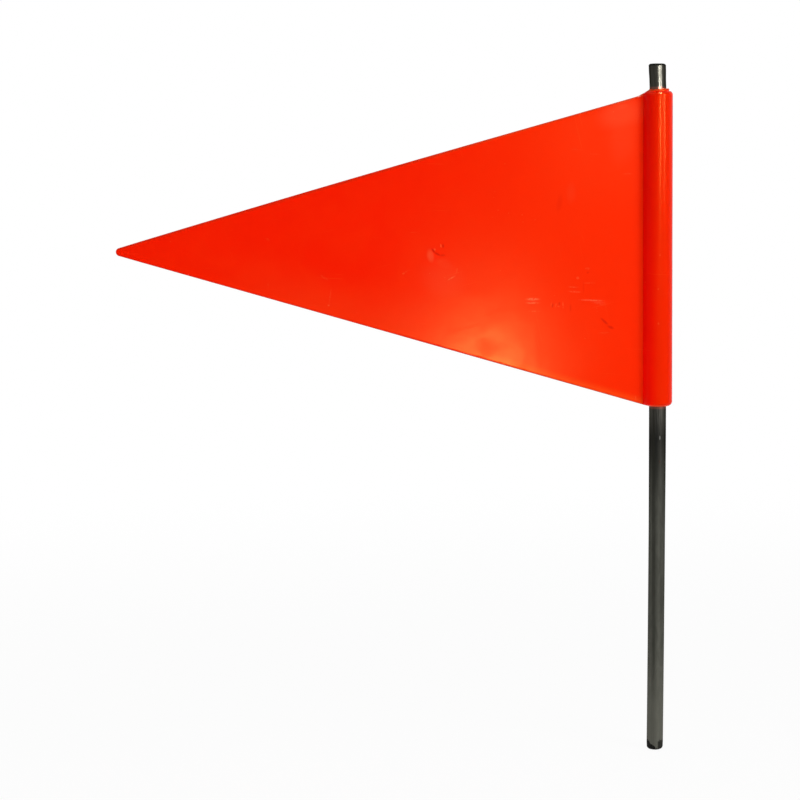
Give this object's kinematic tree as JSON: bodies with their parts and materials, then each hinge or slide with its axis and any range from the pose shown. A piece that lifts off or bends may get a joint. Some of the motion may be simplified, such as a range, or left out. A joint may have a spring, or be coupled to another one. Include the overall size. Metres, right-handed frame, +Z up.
{
  "type": "marker flag",
  "caption": "Long triangular moulded pennant with a round sleeve along its wide end, turning on a round steel rod that is pushed into the ground.",
  "frame": {"origin": "centre of the flat at the rod's lower end", "axes": "+Z up along the rod; -X from the rod towards the pennant's tip; the plate lies in the XZ plane, its front face towards -Y"},
  "size_m": [0.4052, 0.0214, 0.5],
  "materials": {
    "dark_steel": "dark, worn steel, rubbed brighter at the head and dull towards the foot",
    "orange_red_plastic": "moulded orange-red, softly glossy with small scuffs"
  },
  "bodies": {
    "rod": {"rod": "dark_steel"},
    "pennant": {"pennant": "orange_red_plastic"}
  },
  "joints": [
    {"name": "pennant_turn", "type": "hinge", "parent": "rod", "child": "pennant", "pos_m": [0, 0, 0.253], "axis": [0, 0, 1], "continuous": true}
  ]
}
